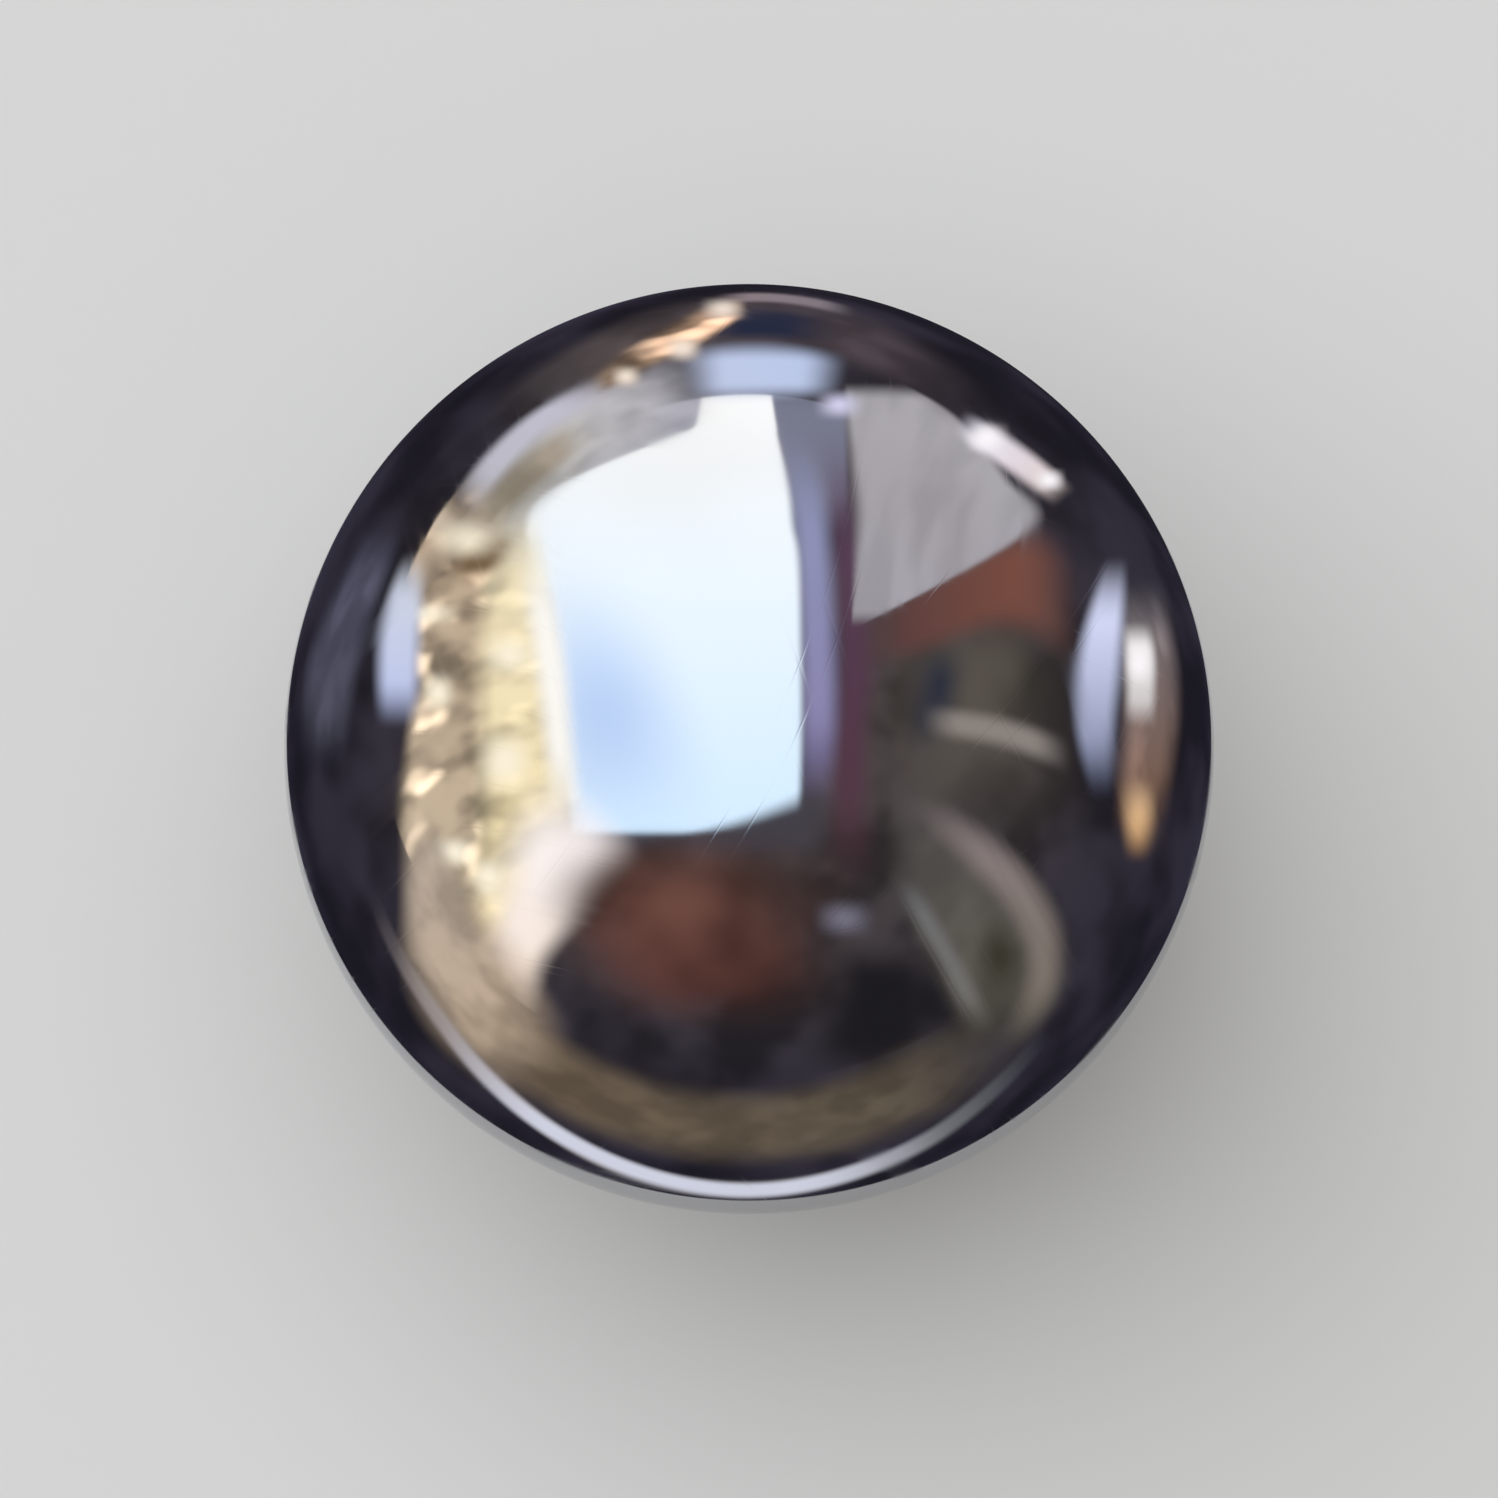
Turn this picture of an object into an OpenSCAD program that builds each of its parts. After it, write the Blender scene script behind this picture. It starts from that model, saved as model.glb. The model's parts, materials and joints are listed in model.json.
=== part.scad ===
/* [Ball] */
// Diameter of the ball, the same across every line through its centre
ball_d = 12; // [3:0.5:25]

/* [Hidden] */
// Separate pieces of the part: the ball is one solid piece

// Pale, faintly cool grey of bare polished steel
polished_steel = [0.60, 0.61, 0.63];
// Facets round the sphere where it is shown as a mesh
ball_facets = 180;

// A steel ball, headed from wire, then ground and lapped to a true sphere.
// It is solid all through, with no flat, hole or parting line left on it.
// Its centre is the origin, so it turns about that point without moving.
module ball() {
    color(polished_steel)
        sphere(d = ball_d, $fn = ball_facets);
}

ball();
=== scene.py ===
"""A mirror-polished steel ball on a pale floor, under one soft window of light."""
import json
import math

import bmesh
import bpy
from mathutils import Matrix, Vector

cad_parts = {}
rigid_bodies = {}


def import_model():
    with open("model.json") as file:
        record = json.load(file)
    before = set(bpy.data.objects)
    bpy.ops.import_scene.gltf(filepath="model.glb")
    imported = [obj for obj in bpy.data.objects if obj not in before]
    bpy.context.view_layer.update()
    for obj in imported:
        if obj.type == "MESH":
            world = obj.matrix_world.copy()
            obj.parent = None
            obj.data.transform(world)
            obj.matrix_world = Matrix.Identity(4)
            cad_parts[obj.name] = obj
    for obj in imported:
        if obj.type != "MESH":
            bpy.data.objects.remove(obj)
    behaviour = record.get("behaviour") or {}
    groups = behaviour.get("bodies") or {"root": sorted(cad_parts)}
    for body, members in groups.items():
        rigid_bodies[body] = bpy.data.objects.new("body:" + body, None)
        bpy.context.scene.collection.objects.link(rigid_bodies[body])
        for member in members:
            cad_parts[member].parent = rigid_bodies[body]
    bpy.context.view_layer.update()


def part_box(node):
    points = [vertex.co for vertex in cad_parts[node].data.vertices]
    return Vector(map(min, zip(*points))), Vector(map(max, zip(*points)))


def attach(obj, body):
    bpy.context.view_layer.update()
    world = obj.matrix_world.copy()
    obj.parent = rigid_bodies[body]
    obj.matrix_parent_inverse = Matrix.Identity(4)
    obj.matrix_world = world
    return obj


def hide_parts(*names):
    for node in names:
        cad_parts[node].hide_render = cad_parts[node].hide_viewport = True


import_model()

# The ball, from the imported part
ball_low, ball_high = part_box("ball")
BALL_RADIUS = max(ball_high - ball_low) / 2
BALL_CENTRE = (ball_low + ball_high) / 2
FLOOR_Z = ball_low.z

# Quads along each side of the six patches that the sphere is made of
PATCH_STEPS = 96
# Points of two patches that lie nearer than this are joined into one
SEAM_REACH = BALL_RADIUS * 1e-5
# Bare strip round each patch in the texture layout, as a share of the patch
PATCH_MARGIN = 0.02

# The photograph's view of this ball: how steeply it is seen, and from how many diameters away
VIEW_ELEVATION = math.radians(77)
VIEW_REACH = 9.4 * 2 * BALL_RADIUS
# Share of the picture's width that the ball fills
BALL_SHARE = 0.62
SENSOR_WIDTH = 36.0
CLIP_START = VIEW_REACH / 20
CLIP_END = 10.0

# The picture's three directions: towards the camera, to its right and to its top
BACK = Vector((0, -math.cos(VIEW_ELEVATION), math.sin(VIEW_ELEVATION)))
RIGHT = Vector((1, 0, 0))
TOP = BACK.cross(RIGHT)
# Half the ball's width in the picture, as a tangent
OUTLINE = math.tan(math.asin(BALL_RADIUS / VIEW_REACH))

# The finish
STEEL_COLOUR = (0.560, 0.568, 0.585)
FILM_COLOUR = (0.520, 0.516, 0.512)
EDGE_TINT = (0.78, 0.78, 0.80)
# The bare mirror's roughness, and what haze, an oil film and lapping lines add to it at most
MIRROR_ROUGHNESS = 0.035
HAZE_ROUGHNESS = 0.03
FILM_ROUGHNESS = 0.03
LINE_ROUGHNESS = 0.07
# Sizes of the haze's grain and of the film's clouds, how crisp the grain is, and the film's shift
HAZE_SIZE = 0.0006
HAZE_CRISPNESS = 0.6
FILM_SIZE = 0.005
FILM_SHIFT = (0.02, 0.01, 0.0)
# Noise levels between which the film thickens from none to full
FILM_EDGE = (0.45, 0.75)

# Laps in directions spread evenly by the golden angle
LAPS = 7
GOLDEN_ANGLE = math.pi * (3 - math.sqrt(5))
LINE_SPACING = 0.0016
LINE_DEPTH = 1.0e-7
# How far off its middle level the noise still draws a line
LINE_WIDTH = 0.006
# Length of the arcs that show, and the noise levels between which they come in
ARC_LENGTH = 0.006
ARC_EDGE = (0.45, 0.70)

# How far the studio's cards stand from the ball's centre
TENT_REACH = 0.50
WINDOW_REACH = 0.46
FIELD_REACH = 0.036
NEAR_REACH = 0.0155
RIM_REACH = 0.0138
ARC_REACH = 0.0107
# Each card lies nearer than the one before it by this share of its reach, and so covers it
CARD_GAP = 0.003
# The tent's dome ends at this rise, and its skirt meets the floor this far from the ball's middle
DOME_RISE = math.radians(3)
SKIRT_FOOT = 0.0080

# The window's brightness in the mirror, and the lamp that lights the studio from its place
WINDOW_STRENGTH = 1.8
LAMP_POWER = 1.2
LAMP_COLOUR = (0.94, 0.97, 1.0)

FLOOR_HALF = 1.2
FLOOR_ROUGHNESS = 0.9
FLOOR_COLOUR = (0.74, 0.74, 0.74)
BACKDROP_COLOUR = (0.74, 0.74, 0.74)
FILL_COLOUR = (0.48, 0.47, 0.45)


# Node helpers

def new_node(tree, kind, settings=None, values=None):
    """Adds a node, with its settings and the values of its unlinked sockets."""
    node = tree.nodes.new(kind)
    for name, value in (settings or {}).items():
        setattr(node, name, value)
    for name, value in (values or {}).items():
        node.inputs[name].default_value = value
    return node


def new_group(name, inputs, outputs):
    """Starts a node group with named sockets. Returns its tree, its input node and its output node."""
    tree = bpy.data.node_groups.new(name, "ShaderNodeTree")
    for side, sockets in (("INPUT", inputs), ("OUTPUT", outputs)):
        for socket, kind in sockets.items():
            tree.interface.new_socket(socket, in_out=side, socket_type=f"NodeSocket{kind}")
    return tree, new_node(tree, "NodeGroupInput"), new_node(tree, "NodeGroupOutput")


def math_node(tree, operation, first, second=None):
    """A Math node whose two sides are numbers or sockets. Returns its output."""
    node = new_node(tree, "ShaderNodeMath", {"operation": operation})
    for socket, side in zip(node.inputs, (first, second)):
        if side is None:
            continue
        if isinstance(side, (int, float)):
            socket.default_value = side
        else:
            tree.links.new(side, socket)
    return node.outputs["Value"]


def mixed_colour(tree, share, first, second):
    """Mixes two colours, each plain or a socket, by a share. Returns the result's socket."""
    mix = new_node(tree, "ShaderNodeMix", {"data_type": "RGBA"})
    sides = [socket for socket in mix.inputs if socket.type == "RGBA"]
    for socket, side in zip(sides, (first, second)):
        if isinstance(side, tuple):
            socket.default_value = (*side, 1.0)
        else:
            tree.links.new(side, socket)
    tree.links.new(share, mix.inputs["Factor"])
    return next(socket for socket in mix.outputs if socket.type == "RGBA")


def ramp_between(tree, value, low, high, to_low=0.0, to_high=1.0):
    """A smooth step of value from low to high, a number or a socket, put out from to_low to to_high."""
    node = new_node(
        tree,
        "ShaderNodeMapRange",
        {"interpolation_type": "SMOOTHSTEP"},
        {"From Min": low, "To Min": to_low, "To Max": to_high},
    )
    if isinstance(high, (int, float)):
        node.inputs["From Max"].default_value = high
    else:
        tree.links.new(high, node.inputs["From Max"])
    tree.links.new(value, node.inputs["Value"])
    return node.outputs["Result"]


def noise(tree, where, size, crispness=0.5, shift=(0, 0, 0)):
    """Soft noise with features of about the given size in metres. Returns its factor."""
    move = new_node(tree, "ShaderNodeMapping", values={"Location": shift})
    cloud = new_node(tree, "ShaderNodeTexNoise", values={"Scale": 1 / size, "Roughness": crispness})
    tree.links.new(where, move.inputs["Vector"])
    tree.links.new(move.outputs["Vector"], cloud.inputs["Vector"])
    return cloud.outputs["Fac"]


# The ball's finish

def lapping_lines_group():
    """Faint arcs of small circles about one axis, as a lap leaves them on a ball."""
    tree, given, result = new_group(
        "Lapping lines",
        {"Place": "Vector", "Lap Angle": "Vector", "Spacing": "Float", "Arc Length": "Float"},
        {"Lines": "Float"},
    )
    turned = new_node(tree, "ShaderNodeVectorRotate", {"rotation_type": "EULER_XYZ"})
    tree.links.new(given.outputs["Place"], turned.inputs["Vector"])
    tree.links.new(given.outputs["Lap Angle"], turned.inputs["Rotation"])
    split = new_node(tree, "ShaderNodeSeparateXYZ")
    tree.links.new(turned.outputs["Vector"], split.inputs["Vector"])

    rate = math_node(tree, "DIVIDE", 1.0, given.outputs["Spacing"])
    slices = new_node(
        tree,
        "ShaderNodeTexNoise",
        {"noise_dimensions": "1D"},
        {"Detail": 1.0, "Roughness": 0.4},
    )
    tree.links.new(split.outputs["Z"], slices.inputs["W"])
    tree.links.new(rate, slices.inputs["Scale"])
    off_middle = math_node(tree, "ABSOLUTE", math_node(tree, "SUBTRACT", slices.outputs["Fac"], 0.5))
    thin = ramp_between(tree, off_middle, 0.0, LINE_WIDTH, 1.0, 0.0)

    arc_rate = math_node(tree, "DIVIDE", 1.0, given.outputs["Arc Length"])
    stretches = new_node(tree, "ShaderNodeTexNoise", values={"Detail": 0.0})
    tree.links.new(turned.outputs["Vector"], stretches.inputs["Vector"])
    tree.links.new(arc_rate, stretches.inputs["Scale"])
    kept = ramp_between(tree, stretches.outputs["Fac"], *ARC_EDGE)
    tree.links.new(math_node(tree, "MULTIPLY", thin, kept), result.inputs["Lines"])
    return tree


def lapping_lines(tree, where):
    """All the laps' lines together, from 0 on the bare mirror to 1 on a line."""
    group = lapping_lines_group()
    total = None
    for number in range(LAPS):
        tilt = math.acos(1 - (number + 0.5) / LAPS)
        lap = new_node(tree, "ShaderNodeGroup", {"node_tree": group})
        lap.inputs["Lap Angle"].default_value = (tilt, number, number * GOLDEN_ANGLE)
        lap.inputs["Spacing"].default_value = LINE_SPACING
        lap.inputs["Arc Length"].default_value = ARC_LENGTH
        tree.links.new(where, lap.inputs["Place"])
        lines = lap.outputs["Lines"]
        total = lines if total is None else math_node(tree, "MAXIMUM", total, lines)
    return total


def polished_steel():
    """Bare steel with a lapped mirror finish: haze, hairlines and a trace of oil."""
    material = bpy.data.materials.new("polished steel")
    material.use_nodes = True
    tree = material.node_tree
    steel = tree.nodes["Principled BSDF"]
    steel.inputs["Metallic"].default_value = 1.0
    steel.inputs["Specular Tint"].default_value = (*EDGE_TINT, 1.0)
    where = new_node(tree, "ShaderNodeTexCoord").outputs["Object"]

    lines = lapping_lines(tree, where)
    haze = noise(tree, where, HAZE_SIZE, HAZE_CRISPNESS)
    film = ramp_between(tree, noise(tree, where, FILM_SIZE, shift=FILM_SHIFT), *FILM_EDGE)

    colour = mixed_colour(tree, film, STEEL_COLOUR, FILM_COLOUR)
    tree.links.new(colour, steel.inputs["Base Color"])

    rough = math_node(tree, "ADD", math_node(tree, "MULTIPLY", haze, HAZE_ROUGHNESS), MIRROR_ROUGHNESS)
    for mark, amount in ((film, FILM_ROUGHNESS), (lines, LINE_ROUGHNESS)):
        rough = math_node(tree, "ADD", rough, math_node(tree, "MULTIPLY", mark, amount))
    tree.links.new(rough, steel.inputs["Roughness"])

    dent = new_node(tree, "ShaderNodeBump", {"invert": True}, {"Strength": 1.0, "Distance": LINE_DEPTH})
    tree.links.new(lines, dent.inputs["Height"])
    tree.links.new(dent.outputs["Normal"], steel.inputs["Normal"])
    return material


# The ball's shape

PATCHES = (
    (Vector((1, 0, 0)), Vector((0, 1, 0)), Vector((0, 0, 1))),
    (Vector((-1, 0, 0)), Vector((0, -1, 0)), Vector((0, 0, 1))),
    (Vector((0, 1, 0)), Vector((-1, 0, 0)), Vector((0, 0, 1))),
    (Vector((0, -1, 0)), Vector((1, 0, 0)), Vector((0, 0, 1))),
    (Vector((0, 0, 1)), Vector((1, 0, 0)), Vector((0, 1, 0))),
    (Vector((0, 0, -1)), Vector((1, 0, 0)), Vector((0, -1, 0))),
)
PATCH_COLUMNS = 3
PATCH_ROWS = 2


def on_sphere(patch, across, up):
    """The sphere's point at that share of a patch. Even steps of angle keep the quads even."""
    out, right, top = patch
    slant_x = math.tan((across - 0.5) * math.pi / 2)
    slant_y = math.tan((up - 0.5) * math.pi / 2)
    return (out + right * slant_x + top * slant_y).normalized()


def in_layout(number, across, up):
    """The same point's place in the texture layout of three by two patches."""
    column = number % PATCH_COLUMNS
    row = number // PATCH_COLUMNS
    inner = 1 - 2 * PATCH_MARGIN
    u = (column + PATCH_MARGIN + across * inner) / PATCH_COLUMNS
    v = (row + PATCH_MARGIN + up * inner) / PATCH_ROWS
    return u, v


def ball_mesh():
    """A sphere with no poles: six patches of even quads, joined along their edges."""
    shape = bmesh.new()
    layout = shape.loops.layers.uv.new("OFBake")
    steps = [n / PATCH_STEPS for n in range(PATCH_STEPS + 1)]
    for number, patch in enumerate(PATCHES):
        grid = [
            [shape.verts.new(BALL_CENTRE + BALL_RADIUS * on_sphere(patch, a, b)) for a in steps]
            for b in steps
        ]
        for row in range(PATCH_STEPS):
            for column in range(PATCH_STEPS):
                corners = ((column, row), (column + 1, row), (column + 1, row + 1), (column, row + 1))
                quad = shape.faces.new([grid[j][i] for i, j in corners])
                quad.smooth = True
                for loop, (i, j) in zip(quad.loops, corners):
                    loop[layout].uv = in_layout(number, steps[i], steps[j])
    bmesh.ops.remove_doubles(shape, verts=shape.verts, dist=SEAM_REACH)
    mesh = bpy.data.meshes.new("polished_ball")
    shape.to_mesh(mesh)
    shape.free()
    return mesh


def make_ball():
    """The ball that stands for the part's one solid."""
    ball = bpy.data.objects.new("polished_ball", ball_mesh())
    bpy.context.scene.collection.objects.link(ball)
    ball.data.materials.append(polished_steel())
    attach(ball, "root")
    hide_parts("ball")


# Where the studio's cards stand. The cards glow though they are no lamps: they show in the ball's mirror
# alone, light nothing, and paint the reflections, highlights and dark patches that the mirror shows.

# Quads across each card, and along it between two of its rails
SHEET_STEPS = 10


def mirrored(across, up, reach):
    """The point at a reach from the ball's centre that shows at a spot of the ball's mirror.

    across and up run from -1 to 1 over the ball's outline, as the camera sees it."""
    eye = BACK * VIEW_REACH
    glance = ((RIGHT * across + TOP * up) * OUTLINE - BACK).normalized()
    nearing = -eye.dot(glance)
    touch = eye + glance * (nearing - math.sqrt(nearing**2 - VIEW_REACH**2 + BALL_RADIUS**2))
    facing = touch / BALL_RADIUS
    leaving = glance - 2 * glance.dot(facing) * facing
    outward = touch.dot(leaving)
    length = math.sqrt(outward**2 + reach**2 - BALL_RADIUS**2) - outward
    return BALL_CENTRE + touch + leaving * length


def level(up, across):
    """A spot of the mirror on a level line of the picture."""
    return across, up


def upright(across, up):
    """A spot of the mirror on an upright line of the picture."""
    return across, up


def round_rim(turn, out):
    """A spot of the mirror at a turn in degrees from its right, and a share of its radius out."""
    angle = math.radians(turn)
    return out * math.cos(angle), out * math.sin(angle)


def rounded(before, first, second, after, share):
    """A value between first and second, on a smooth curve that also heeds its neighbours."""
    slope = (second - before) * share
    bend = (2 * before - 5 * first + 4 * second - after) * share**2
    twist = (3 * first - before - 3 * second + after) * share**3
    return first + (slope + bend + twist) / 2


def rows_between(rails):
    """Smooth rows (along, one side, other side) over a field, through its rails from end to end."""
    padded = (rails[0], *rails, rails[-1])
    rows = []
    for four in zip(padded, padded[1:], padded[2:], padded[3:]):
        for step in range(1 if rows else 0, SHEET_STEPS + 1):
            rows.append([rounded(*values, step / SHEET_STEPS) for values in zip(*four)])
    return rows


def curved_sheet(name, patches, material):
    """One stage card of curved patches, each with its rows of points and its height at each row."""
    shape = bmesh.new()
    layout = shape.loops.layers.uv.new("Sheet")
    for rows, heights in patches:
        grid = [[shape.verts.new(point) for point in row] for row in rows]
        last_row, last_column = len(rows) - 1, len(rows[0]) - 1
        for row in range(last_row):
            for column in range(last_column):
                corners = ((column, row), (column + 1, row), (column + 1, row + 1), (column, row + 1))
                quad = shape.faces.new([grid[j][i] for i, j in corners])
                quad.smooth = True
                for loop, (i, j) in zip(quad.loops, corners):
                    loop[layout].uv = (i / last_column, heights[j])
    mesh = bpy.data.meshes.new(name)
    shape.to_mesh(mesh)
    shape.free()
    sheet = bpy.data.objects.new(name, mesh)
    bpy.context.scene.collection.objects.link(sheet)
    mesh.materials.append(material)
    sheet.visible_camera = False
    sheet.visible_diffuse = False
    sheet.visible_shadow = False


# What the cards look like

# Keeps a card with no soft edge lit right up to its border
HARD_EDGE = 0.001
# Sizes of the mottling along X, Y and Z, in radians seen from the ball
EVEN_GRAIN = (0.30, 0.30, 0.30)
BARRED_GRAIN = (0.30, 0.13, 0.30)
FINE_GRAIN = (0.18, 0.18, 0.18)
SOFT_GRAIN = (0.55, 0.40, 0.55)
COLUMN_GRAIN = (0.09, 0.60, 0.60)
BLOTCH_DETAIL = 2.0
# Sparks, painted highlights on the cards, are this much finer than the mottling
SPARK_RATE = 1.2
# Noise levels between which the blotches darken and the sparks light up
BLOTCH_EDGE = (0.35, 0.65)
SPARK_EDGE = (0.54, 0.74)


def card_glow_group():
    """A card's colour from its head to its foot, and the mask of its soft edges."""
    tree, given, result = new_group(
        "Card glow",
        {
            "Sheet": "Vector",
            "Head Colour": "Color",
            "Foot Colour": "Color",
            "Soft Sides": "Float",
            "Soft Ends": "Float",
        },
        {"Colour": "Color", "Mask": "Float"},
    )
    split = new_node(tree, "ShaderNodeSeparateXYZ")
    tree.links.new(given.outputs["Sheet"], split.inputs["Vector"])

    mask = None
    for axis, soft in (("X", "Soft Sides"), ("Y", "Soft Ends")):
        for from_edge in (split.outputs[axis], math_node(tree, "SUBTRACT", 1.0, split.outputs[axis])):
            edge = ramp_between(tree, from_edge, -HARD_EDGE, given.outputs[soft])
            mask = edge if mask is None else math_node(tree, "MULTIPLY", mask, edge)
    tree.links.new(mask, result.inputs["Mask"])
    foot, head = given.outputs["Foot Colour"], given.outputs["Head Colour"]
    tree.links.new(mixed_colour(tree, split.outputs["Y"], foot, head), result.inputs["Colour"])


def mottled_light_group():
    """A card's colour with dark mottling and bright sparks, both painted into the reflection the card
    shows; the sparks are painted highlights.

    Grain is how large the mottling looks along X, Y and Z, in radians seen from the ball."""
    tree, given, result = new_group(
        "Mottled light",
        {"Colour": "Color", "Place": "Vector", "Grain": "Vector", "Mottle": "Float", "Sparks": "Float"},
        {"Colour": "Color"},
    )
    towards = new_node(tree, "ShaderNodeVectorMath", {"operation": "NORMALIZE"})
    tree.links.new(given.outputs["Place"], towards.inputs["Vector"])
    grains = new_node(tree, "ShaderNodeVectorMath", {"operation": "DIVIDE"})
    tree.links.new(towards.outputs["Vector"], grains.inputs[0])
    tree.links.new(given.outputs["Grain"], grains.inputs[1])
    blotches = new_node(tree, "ShaderNodeTexNoise", values={"Scale": 1.0, "Detail": BLOTCH_DETAIL})
    tree.links.new(grains.outputs["Vector"], blotches.inputs["Vector"])
    dark = ramp_between(tree, blotches.outputs["Fac"], *BLOTCH_EDGE)
    points = new_node(tree, "ShaderNodeTexNoise", values={"Scale": SPARK_RATE, "Detail": 1.0})
    tree.links.new(grains.outputs["Vector"], points.inputs["Vector"])
    bright = ramp_between(tree, points.outputs["Fac"], *SPARK_EDGE)

    shade = math_node(tree, "SUBTRACT", 1.0, math_node(tree, "MULTIPLY", dark, given.outputs["Mottle"]))
    shade = math_node(tree, "ADD", shade, math_node(tree, "MULTIPLY", bright, given.outputs["Sparks"]))
    scaled = new_node(tree, "ShaderNodeVectorMath", {"operation": "SCALE"})
    tree.links.new(given.outputs["Colour"], scaled.inputs["Vector"])
    tree.links.new(shade, scaled.inputs["Scale"])
    tree.links.new(scaled.outputs["Vector"], result.inputs["Colour"])


def card_glow(
    name, head, foot=None, strength=1.0, sides=0.3, ends=0.3, mottle=0.0, grain=EVEN_GRAIN, sparks=0.0
):
    """A glowing card, which paints a reflection in the ball's mirror: its colour at its head and foot,
    its strength, soft edges and mottling.
    """
    material = bpy.data.materials.new(name)
    material.use_nodes = True
    material.cycles.emission_sampling = "NONE"
    tree = material.node_tree
    shader = tree.nodes["Principled BSDF"]
    shader.inputs["Base Color"].default_value = (0, 0, 0, 1)
    shader.inputs["Specular IOR Level"].default_value = 0.0
    shader.inputs["Emission Strength"].default_value = strength
    glow = new_node(tree, "ShaderNodeGroup", {"node_tree": bpy.data.node_groups["Card glow"]})
    glow.inputs["Head Colour"].default_value = (*head, 1.0)
    glow.inputs["Foot Colour"].default_value = (*(foot or head), 1.0)
    glow.inputs["Soft Sides"].default_value = sides
    glow.inputs["Soft Ends"].default_value = ends
    where = new_node(tree, "ShaderNodeTexCoord")
    tree.links.new(where.outputs["UV"], glow.inputs["Sheet"])
    tree.links.new(glow.outputs["Mask"], shader.inputs["Alpha"])
    colour = glow.outputs["Colour"]
    if mottle or sparks:
        light = new_node(tree, "ShaderNodeGroup", {"node_tree": bpy.data.node_groups["Mottled light"]})
        light.inputs["Grain"].default_value = grain
        light.inputs["Mottle"].default_value = mottle
        light.inputs["Sparks"].default_value = sparks
        tree.links.new(where.outputs["Object"], light.inputs["Place"])
        tree.links.new(colour, light.inputs["Colour"])
        colour = light.outputs["Colour"]
    tree.links.new(colour, shader.inputs["Emission Color"])
    return material


def layered(reach):
    """A card's own reach: a little nearer than the cards that are there already."""
    return reach * (1 - CARD_GAP * len(bpy.data.objects))


def mirrored_patch(place, rails, reach):
    """Rows of points that show in the ball's mirror between the rails, and the height of each."""
    fields = rows_between(rails)
    shares = [n / SHEET_STEPS for n in range(SHEET_STEPS + 1)]
    rows = [
        [mirrored(*place(along, one + (other - one) * share), reach) for share in shares]
        for along, one, other in fields
    ]
    start, end = rails[0][0], rails[-1][0]
    return rows, [(along - end) / (start - end) for along, _, _ in fields]


def card(name, place, rails, reach, *colours, **look):
    """A card that shows in the ball's mirror over the field between its rails.

    A rail is (how far along, one side, other side), in the values that place turns into a spot."""
    patch = mirrored_patch(place, rails, layered(reach))
    curved_sheet(name, [patch], card_glow(name.replace("_", " "), *colours, **look))


def spark_card(name, spots, reach, *colours):
    """Small soft glowing spots on one card, which paint highlights in the ball's mirror. Each spot is
    across, up, width and height in the mirror.
    """
    patches = []
    for across, up, width, height in spots:
        sides = (across - width / 2, across + width / 2)
        rails = ((up + height / 2, *sides), (up - height / 2, *sides))
        patches.append(mirrored_patch(level, rails, layered(reach)))
    glow = card_glow(name.replace("_", " "), *colours, sides=0.5, ends=0.5)
    curved_sheet(name, patches, glow)


# The lamp and the cards

# Spots at the window's head, foot, left and right in the mirror
WINDOW_SPOTS = ((-0.19, 0.65), (-0.19, -0.19), (-0.47, 0.20), (0.11, 0.20))


def make_window_lamp():
    """The studio's one lamp. It stands where the window does, and the mirror shows the window."""
    head, foot, left, right = [mirrored(*spot, WINDOW_REACH) for spot in WINDOW_SPOTS]
    light = bpy.data.lights.new("window_lamp", "AREA")
    light.shape = "RECTANGLE"
    light.size = (right - left).length
    light.size_y = (head - foot).length
    light.energy = LAMP_POWER
    light.color = LAMP_COLOUR
    lamp = bpy.data.objects.new("window_lamp", light)
    lamp.location = (head + foot + left + right) / 4
    lamp.rotation_euler = (BALL_CENTRE - lamp.location).to_track_quat("-Z", "Y").to_euler()
    lamp.visible_camera = False
    lamp.visible_glossy = False
    bpy.context.scene.collection.objects.link(lamp)


WHITE = (1.0, 0.985, 0.965)
PALE_SKY = (0.66, 0.84, 1.0)


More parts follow.
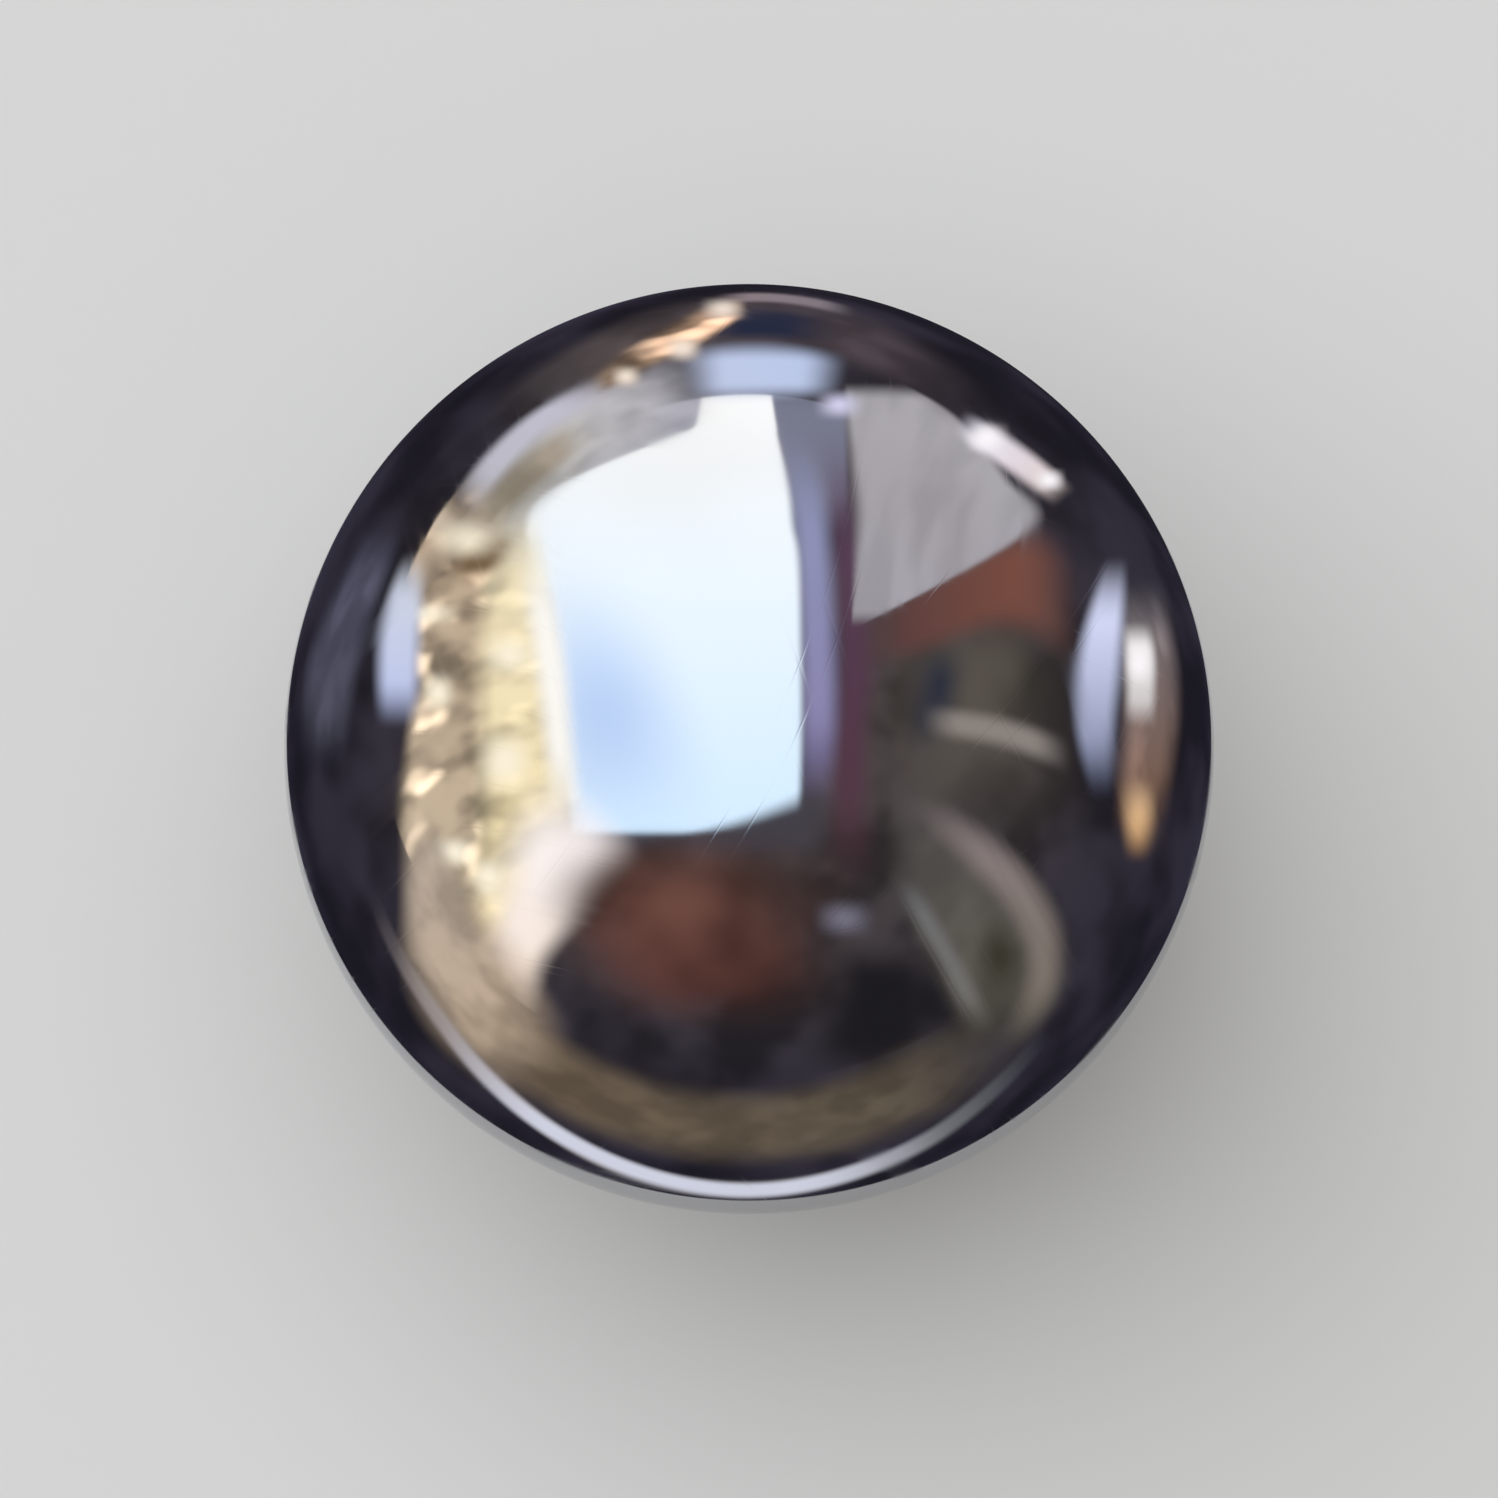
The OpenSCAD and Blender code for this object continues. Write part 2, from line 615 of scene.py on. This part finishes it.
def make_window():
    """A tall soft window, white above and pale blue at its foot, with the cards round it. These glowing
    cards paint the window's reflection and the wall round it in the ball's mirror.
    """
    blue = ((0.44, -0.53, -0.24), (0.16, -0.55, -0.10), (-0.04, -0.55, -0.03), (-0.24, -0.53, -0.02))
    shade = ((-0.18, -0.25, -0.185), (0.00, -0.25, -0.130), (0.19, -0.25, -0.040))
    wall = ((94, 0.60, 0.82), (112, 0.60, 0.80), (132, 0.58, 0.78), (152, 0.56, 0.76))
    slate = ((0.84, 0.00, 0.22), (0.66, 0.02, 0.22), (0.44, 0.05, 0.22))
    pane = (
        (0.80, -0.100, 0.045),
        (0.72, -0.112, 0.058),
        (0.69, -0.125, 0.063),
        (0.67, -0.175, 0.066),
        (0.60, -0.350, 0.085),
        (0.54, -0.460, 0.098),
        (0.48, -0.490, 0.105),
        (0.40, -0.480, 0.118),
        (0.20, -0.440, 0.122),
        (0.00, -0.410, 0.122),
        (-0.19, -0.390, 0.115),
    )
    jamb = ((0.72, 0.03, 0.13), (0.50, 0.07, 0.190), (0.10, 0.09, 0.210), (-0.16, 0.08, 0.19))
    plum = (
        (0.70, 0.14, 0.22),
        (0.46, 0.15, 0.27),
        (0.20, 0.16, 0.30),
        (0.00, 0.15, 0.28),
        (-0.34, 0.14, 0.30),
    )
    card(
        "grey_wall", round_rim, wall, WINDOW_REACH, (0.72, 0.72, 0.88), (1.00, 0.96, 0.82),
        sides=0.1, ends=0.1, mottle=0.25, grain=FINE_GRAIN,
    )
    card("slate_card", level, slate, WINDOW_REACH, (0.34, 0.37, 0.48), (0.32, 0.29, 0.42), sides=0.1)
    card("plum_card", level, plum, WINDOW_REACH, (0.17, 0.09, 0.17), (0.15, 0.06, 0.08), sides=0.5)
    card("window_jamb", level, jamb, WINDOW_REACH, (0.50, 0.56, 0.84), (0.44, 0.36, 0.70), sides=0.45)
    card(
        "window_pane", level, pane, WINDOW_REACH, WHITE, PALE_SKY,
        strength=WINDOW_STRENGTH, sides=0.04, ends=0.02,
    )
    card(
        "blue_veil", level, blue, WINDOW_REACH, (1.16, 1.42, 1.78), (0.68, 0.94, 1.52),
        sides=0.5, ends=0.5,
    )
    # A dark card that paints a dark patch over the foot of the window's reflection
    card("window_shade", upright, shade, WINDOW_REACH, (0.10, 0.09, 0.11), sides=0.35, ends=0.2)


def make_gilt_cards():
    """Gilt and bronze cards beside the window, which run down to a cream point at the foot. They glow
    and paint a gilt and bronze reflection in the ball's mirror, with painted highlights in the cream
    edge, the pink flare and the sparks.
    """
    bronze = (
        (0.66, -0.62, -0.44),
        (0.50, -0.76, -0.50),
        (0.40, -0.76, -0.52),
        (0.30, -0.73, -0.54),
        (0.10, -0.74, -0.55),
        (-0.12, -0.765, -0.56),
        (-0.35, -0.76, -0.55),
        (-0.62, -0.66, -0.50),
    )
    gilt = (
        (0.56, -0.54, -0.44),
        (0.40, -0.585, -0.42),
        (0.20, -0.61, -0.385),
        (0.00, -0.61, -0.365),
        (-0.16, -0.61, -0.34),
        (-0.30, -0.63, -0.35),
        (-0.44, -0.64, -0.43),
        (-0.62, -0.58, -0.52),
    )
    edge = ((0.46, -0.52, -0.43), (0.20, -0.485, -0.375), (0.00, -0.46, -0.355), (-0.18, -0.45, -0.33))
    notch = ((0.48, -0.55, -0.49), (0.41, -0.65, -0.50), (0.34, -0.66, -0.56))
    flare = (
        (-0.04, -0.48, -0.36),
        (-0.22, -0.57, -0.22),
        (-0.36, -0.59, -0.32),
        (-0.48, -0.63, -0.42),
        (-0.70, -0.66, -0.46),
    )
    cream_spots = (
        (-0.608, 0.452, 0.18, 0.110),
        (-0.690, 0.290, 0.16, 0.060),
        (-0.515, 0.200, 0.14, 0.110),
        (-0.668, 0.120, 0.09, 0.110),
        (-0.525, -0.030, 0.15, 0.170),
        (-0.637, -0.225, 0.13, 0.090),
        (-0.560, -0.280, 0.10, 0.120),
    )
    tan_spots = (
        (-0.687, 0.500, 0.15, 0.110),
        (-0.720, -0.330, 0.09, 0.090),
        (-0.640, -0.420, 0.12, 0.080),
    )
    card(
        "bronze_card", level, bronze, FIELD_REACH, (1.04, 0.79, 0.56), (0.96, 0.77, 0.53),
        sides=0.18, ends=0.22, mottle=0.66, grain=BARRED_GRAIN, sparks=2.0,
    )
    card(
        "gilt_card", level, gilt, FIELD_REACH, (1.60, 1.40, 0.96), (1.72, 1.38, 0.74),
        sides=0.3, ends=0.2, mottle=0.42, grain=BARRED_GRAIN, sparks=0.3,
    )
    card("cream_edge", level, edge, FIELD_REACH, (1.78, 1.72, 1.60), sides=0.5)
    card("umber_notch", level, notch, FIELD_REACH, (0.30, 0.19, 0.10), sides=0.4, ends=0.4)
    card(
        "pink_flare", level, flare, FIELD_REACH, (1.80, 1.72, 1.76), (1.66, 1.30, 0.98),
        sides=0.4, ends=0.3,
    )
    spark_card("tan_sparks", tan_spots, FIELD_REACH, (1.20, 0.98, 0.74))
    spark_card("cream_sparks", cream_spots, FIELD_REACH, (1.78, 1.66, 1.34), (1.78, 1.56, 1.16))


def make_field_cards():
    """Beige and rust cards at the right, and dim brown and taupe ones below the window. They glow and
    paint the room's reflection in the ball's mirror, with painted dark patches and two small painted
    spots of light.
    """
    olive = ((0.34, 0.30, 0.70), (0.16, 0.26, 0.74), (-0.10, 0.24, 0.76), (-0.28, 0.28, 0.70))
    rust = (
        (0.20, 0.14, 0.30),
        (0.36, 0.18, 0.37),
        (0.52, 0.23, 0.47),
        (0.62, 0.21, 0.50),
        (0.72, 0.12, 0.44),
    )
    beige = (
        (0.79, 0.20, 0.33),
        (0.71, 0.20, 0.46),
        (0.58, 0.21, 0.57),
        (0.47, 0.215, 0.62),
        (0.26, 0.22, 0.23),
    )
    pit = ((0.25, 0.35, 0.49), (0.12, 0.33, 0.48), (-0.02, 0.32, 0.42))
    soot = ((-0.40, 0.14, 0.38), (-0.54, 0.12, 0.46), (-0.72, 0.04, 0.44))
    beam = ((0.36, 0.02, 0.11), (0.54, -0.01, 0.085), (0.70, -0.07, 0.03))
    taupe = (
        (-0.06, 0.30, 0.40),
        (-0.18, 0.29, 0.54),
        (-0.30, 0.28, 0.66),
        (-0.42, 0.34, 0.71),
        (-0.54, 0.40, 0.69),
        (-0.68, 0.46, 0.58),
    )
    arch = (
        (-0.09, 0.30, 0.42),
        (-0.18, 0.37, 0.55),
        (-0.28, 0.47, 0.645),
        (-0.38, 0.55, 0.69),
        (-0.48, 0.575, 0.69),
        (-0.57, 0.545, 0.66),
        (-0.66, 0.49, 0.59),
    )
    rib = ((-0.26, 0.28, 0.37), (-0.36, 0.335, 0.42), (-0.48, 0.40, 0.49), (-0.62, 0.46, 0.56))
    hollow = ((-0.34, 0.49, 0.56), (-0.44, 0.47, 0.61), (-0.55, 0.50, 0.57))
    brown = ((-0.15, -0.42, 0.20), (-0.34, -0.48, 0.26), (-0.58, -0.42, 0.26))
    red = ((-0.18, -0.42, 0.02), (-0.32, -0.48, 0.12), (-0.46, -0.40, 0.20), (-0.62, -0.28, 0.16))
    dim = {"sides": 0.4, "ends": 0.35, "mottle": 0.55, "grain": SOFT_GRAIN}
    card("olive_card", level, olive, FIELD_REACH, (0.20, 0.17, 0.13), (0.12, 0.10, 0.10), **dim)
    # Two dark cards that paint dark patches into the reflection
    card("slate_patch", level, pit, FIELD_REACH, (0.050, 0.055, 0.080), sides=0.5, ends=0.4)
    card("black_patch", level, soot, FIELD_REACH, (0.022, 0.020, 0.024), sides=0.4, ends=0.3)
    card("rust_card", upright, rust, FIELD_REACH, (0.12, 0.070, 0.08), (0.42, 0.15, 0.095), sides=0.35)
    card(
        "beige_card", level, beige, FIELD_REACH, (0.74, 0.70, 0.72), (0.68, 0.64, 0.70),
        sides=0.1, ends=0.08, mottle=0.16, grain=COLUMN_GRAIN,
    )
    card("taupe_beam", upright, beam, FIELD_REACH, (0.46, 0.40, 0.36), sides=0.45)
    card(
        "taupe_card", level, taupe, NEAR_REACH, (0.20, 0.18, 0.17), (0.19, 0.17, 0.13),
        sides=0.3, mottle=0.3,
    )
    card("taupe_arch", level, arch, NEAR_REACH, (0.48, 0.38, 0.38), (0.30, 0.26, 0.19), sides=0.5)
    card("grey_rib", level, rib, NEAR_REACH, (0.26, 0.26, 0.27), (0.30, 0.28, 0.24), sides=0.5)
    # A dark card that paints a dark patch under the arch in the reflection
    card("dark_hollow", level, hollow, NEAR_REACH, (0.075, 0.070, 0.045), sides=0.5, ends=0.5)
    card("brown_card", level, brown, FIELD_REACH, (0.24, 0.12, 0.10), (0.08, 0.050, 0.050), **dim)
    card("red_card", level, red, FIELD_REACH, (0.33, 0.150, 0.112), (0.16, 0.055, 0.048), **dim)
    spark_card("lilac_spark", ((0.194, 0.740, 0.12, 0.075),), FIELD_REACH, (1.16, 1.12, 1.45))
    spark_card("grey_spark", ((0.205, -0.365, 0.15, 0.100),), FIELD_REACH, (0.30, 0.28, 0.36))


def make_rim_cards():
    """Slim glowing cards low round the ball, which edge its mirror with a few thin lights: painted
    highlights, painted dark bands and a painted reflection of the floor's bright arc.
    """
    crown = ((132, 0.84, 0.93), (98, 0.84, 0.985), (78, 0.84, 0.985), (52, 0.80, 0.93))
    grey = ((94, 0.69, 0.88), (110, 0.68, 0.88), (126, 0.67, 0.86), (142, 0.66, 0.85))
    sky = ((101, 0.745, 0.88), (88, 0.74, 0.885), (75, 0.77, 0.88))
    chain = ((90, 0.93, 0.975), (97, 0.87, 0.955), (106, 0.83, 0.91), (114, 0.82, 0.87))
    pale = ((110, 0.80, 0.865), (124, 0.795, 0.87), (141, 0.76, 0.845))
    olive = ((116, 0.73, 0.81), (128, 0.71, 0.81), (140, 0.70, 0.84))
    patch = ((99, 0.875, 0.955), (88, 0.87, 0.96), (77, 0.88, 0.955))
    crest = ((95, 0.955, 0.983), (86, 0.958, 0.985), (76, 0.95, 0.98))
    upper = ((58, 0.80, 0.87), (50, 0.80, 0.885), (38, 0.83, 0.905))
    chain_spots = ((-0.056, 0.945, 0.11, 0.06), (-0.142, 0.860, 0.10, 0.07), (-0.264, 0.800, 0.08, 0.06))
    strip_spots = ((0.510, 0.668, 0.11, 0.08), (0.645, 0.578, 0.08, 0.06), (0.839, 0.185, 0.08, 0.12))
    left = ((0.43, -0.75, -0.69), (0.25, -0.81, -0.69), (0.04, -0.81, -0.70))
    haze = ((0.50, -0.82, -0.72), (0.20, -0.96, -0.82), (-0.06, -0.97, -0.86))
    right = ((0.42, 0.76, 0.82), (0.20, 0.69, 0.82), (0.04, 0.69, 0.80), (-0.12, 0.73, 0.79))
    glow = ((0.38, 0.79, 0.90), (0.10, 0.79, 0.94), (-0.20, 0.77, 0.90))
    glint = ((0.28, 0.79, 0.87), (0.18, 0.80, 0.885), (0.04, 0.80, 0.88))
    ember = ((-0.05, 0.79, 0.88), (-0.13, 0.79, 0.885), (-0.25, 0.80, 0.87))
    bronze = (
        (-150, 0.70, 0.90),
        (-118, 0.72, 0.91),
        (-90, 0.72, 0.91),
        (-62, 0.70, 0.91),
        (-40, 0.72, 0.90),
    )
    beige = ((-172, 0.68, 0.76), (-158, 0.66, 0.82), (-142, 0.62, 0.93), (-120, 0.70, 0.93))
    arc = (
        (-160, 0.850, 0.885),
        (-142, 0.856, 0.902),
        (-128, 0.878, 0.925),
        (-108, 0.916, 0.962),
        (-90, 0.925, 0.972),
        (-70, 0.908, 0.954),
        (-57, 0.884, 0.930),
        (-42, 0.860, 0.900),
    )
    bright_arc = ((-140, 0.860, 0.904), (-118, 0.900, 0.944), (-90, 0.928, 0.970), (-62, 0.895, 0.940))
    soft = {"sides": 0.35, "ends": 0.3, "mottle": 0.35, "grain": FINE_GRAIN}
    plain = {"sides": 0.35, "ends": 0.3}
    lively = {"sides": 0.35, "ends": 0.15, "mottle": 0.7, "grain": FINE_GRAIN, "sparks": 2.2}
    card("crown_card", round_rim, crown, RIM_REACH, (0.17, 0.14, 0.13), (0.14, 0.10, 0.13), **soft)
    card("grey_card", round_rim, grey, RIM_REACH, (0.90, 0.88, 1.02), (1.00, 0.96, 0.80), **soft)
    card("olive_streak", round_rim, olive, RIM_REACH, (0.72, 0.62, 0.52), (0.66, 0.56, 0.40), **soft)
    card("pale_streak", round_rim, pale, RIM_REACH, (1.02, 0.98, 1.14), (0.90, 0.88, 0.98), **plain)
    card("navy_patch", round_rim, patch, RIM_REACH, (0.036, 0.044, 0.090), sides=0.35, ends=0.4)
    card("rose_crest", round_rim, crest, RIM_REACH, (0.50, 0.38, 0.40), (0.40, 0.34, 0.38), **plain)
    card("sky_card", round_rim, sky, RIM_REACH, (1.00, 1.12, 1.50), (0.86, 1.00, 1.36), **plain)
    card("gilt_chain", round_rim, chain, RIM_REACH, (0.90, 0.56, 0.36), (0.66, 0.46, 0.32), **lively)
    card("upper_strip", round_rim, upper, RIM_REACH, (1.50, 1.44, 1.64), (1.30, 1.06, 0.98), **plain)
    card("left_haze", level, haze, RIM_REACH, (0.20, 0.20, 0.30), (0.14, 0.14, 0.19), **soft)
    card("left_strip", level, left, RIM_REACH, (1.20, 1.24, 1.34), (0.86, 0.96, 1.46), **plain)
    card("cool_strip", level, right, RIM_REACH, (1.50, 1.56, 2.00), (0.22, 0.26, 0.44), **plain)
    card("bronze_glow", level, glow, RIM_REACH, (0.50, 0.46, 0.50), (0.52, 0.26, 0.14), **soft)
    card("cream_glint", level, glint, RIM_REACH, (1.76, 1.70, 1.66), (0.90, 0.82, 0.78), **plain)
    card(
        "amber_strip", level, ember, RIM_REACH, (1.60, 1.08, 0.62), (1.00, 0.52, 0.20),
        sides=0.5, ends=0.5,
    )
    card("bronze_band", round_rim, bronze, RIM_REACH, (0.32, 0.23, 0.15), (0.18, 0.15, 0.11), **soft)
    card("beige_band", round_rim, beige, RIM_REACH, (0.88, 0.72, 0.58), (0.96, 0.72, 0.50), **soft)
    spark_card("gilt_sparks", chain_spots, RIM_REACH, (1.70, 1.50, 1.26), (1.62, 1.34, 1.14))
    spark_card("rim_sparks", strip_spots, RIM_REACH, (1.74, 1.66, 1.66))
    # Two cards that paint the floor's bright reflection as an arc low on the ball's mirror
    card("painted_floor_arc", round_rim, arc, ARC_REACH, (0.80, 0.68, 0.66), (0.36, 0.40, 0.42), **plain)
    card("bright_arc", round_rim, bright_arc, ARC_REACH, (1.16, 1.18, 1.34), **plain)


# Quads round the tent, down its dome and down its skirt
TENT_TURNS = 96
DOME_RINGS = 24
SKIRT_RINGS = 16
# The small hole that the dome leaves at its top, as a share of a ring
CROWN_HOLE = 0.01


def make_dark_tent():
    """A dark tent over the studio, which glows dimly and shows in the ball's mirror alone, where it
    paints the dark reflection round the cards. Its skirt comes in to the floor close round the ball and
    paints a dark band near the mirror's rim over most of the floor's reflection.
    """
    profile = []
    for ring in range(DOME_RINGS):
        rise = math.pi / 2 + (DOME_RISE - math.pi / 2) * (ring + CROWN_HOLE) / DOME_RINGS
        profile.append((TENT_REACH * math.cos(rise), TENT_REACH * math.sin(rise)))
    hem, hem_height = profile[-1]
    floor_height = FLOOR_Z - BALL_CENTRE.z
    for ring in range(1, SKIRT_RINGS + 1):
        out = hem * (SKIRT_FOOT / hem) ** (ring / SKIRT_RINGS)
        rise_share = (out - SKIRT_FOOT) / (hem - SKIRT_FOOT)
        profile.append((out, floor_height + (hem_height - floor_height) * rise_share))
    turns = [2 * math.pi * n / TENT_TURNS for n in range(TENT_TURNS + 1)]
    rows = [
        [BALL_CENTRE + Vector((out * math.cos(turn), out * math.sin(turn), height)) for turn in turns]
        for out, height in profile
    ]
    heights = [1 - n / (len(profile) - 1) for n in range(len(profile))]
    # The tent's dim dark glow, a painted dark reflection
    dark_glow = card_glow(
        "tent dark glow", (0.15, 0.12, 0.11), (0.050, 0.044, 0.070),
        sides=0.0, ends=0.0, mottle=0.6, grain=EVEN_GRAIN,
    )
    curved_sheet("dark_tent", [(rows, heights)], dark_glow)


# The floor, the world and the camera

def make_floor():
    """A plain matt floor under the ball."""
    material = bpy.data.materials.new("pale floor")
    material.use_nodes = True
    shader = material.node_tree.nodes["Principled BSDF"]
    shader.inputs["Base Color"].default_value = (*FLOOR_COLOUR, 1.0)
    shader.inputs["Roughness"].default_value = FLOOR_ROUGHNESS
    shader.inputs["Specular IOR Level"].default_value = 0.0
    mesh = bpy.data.meshes.new("floor")
    signs = ((-1, -1), (1, -1), (1, 1), (-1, 1))
    corners = [(FLOOR_HALF * across, FLOOR_HALF * along, FLOOR_Z) for across, along in signs]
    mesh.from_pydata(corners, [], [(0, 1, 2, 3)])
    mesh.materials.append(material)
    floor = bpy.data.objects.new("floor", mesh)
    bpy.context.scene.collection.objects.link(floor)


def make_world():
    """A pale backdrop for the camera and the mirror, and a low fill for everything else."""
    world = bpy.data.worlds.new("studio")
    bpy.context.scene.world = world
    world.use_nodes = True
    tree = world.node_tree
    tree.nodes.clear()
    path = new_node(tree, "ShaderNodeLightPath")
    seen = math_node(tree, "MAXIMUM", path.outputs["Is Camera Ray"], path.outputs["Is Glossy Ray"])
    seen = math_node(tree, "MAXIMUM", seen, path.outputs["Is Transmission Ray"])
    shade = mixed_colour(tree, seen, FILL_COLOUR, BACKDROP_COLOUR)
    sky = new_node(tree, "ShaderNodeBackground")
    out = new_node(tree, "ShaderNodeOutputWorld")
    tree.links.new(shade, sky.inputs["Color"])
    tree.links.new(sky.outputs["Background"], out.inputs["Surface"])


def make_camera():
    """Looks along +Y and down at the ball, as the photograph does."""
    lens = bpy.data.cameras.new("camera")
    lens.sensor_width = SENSOR_WIDTH
    lens.lens = SENSOR_WIDTH * VIEW_REACH * BALL_SHARE / (2 * BALL_RADIUS)
    lens.clip_start = CLIP_START
    lens.clip_end = CLIP_END
    camera = bpy.data.objects.new("camera", lens)
    camera.location = BALL_CENTRE + BACK * VIEW_REACH
    camera.rotation_euler = (-BACK).to_track_quat("-Z", "Y").to_euler()
    bpy.context.scene.collection.objects.link(camera)
    bpy.context.scene.camera = camera


make_camera()
make_ball()
make_floor()
card_glow_group()
mottled_light_group()
make_window_lamp()
make_window()
make_gilt_cards()
make_field_cards()
make_rim_cards()
make_dark_tent()
make_world()
bpy.context.scene.view_settings.view_transform = "Standard"
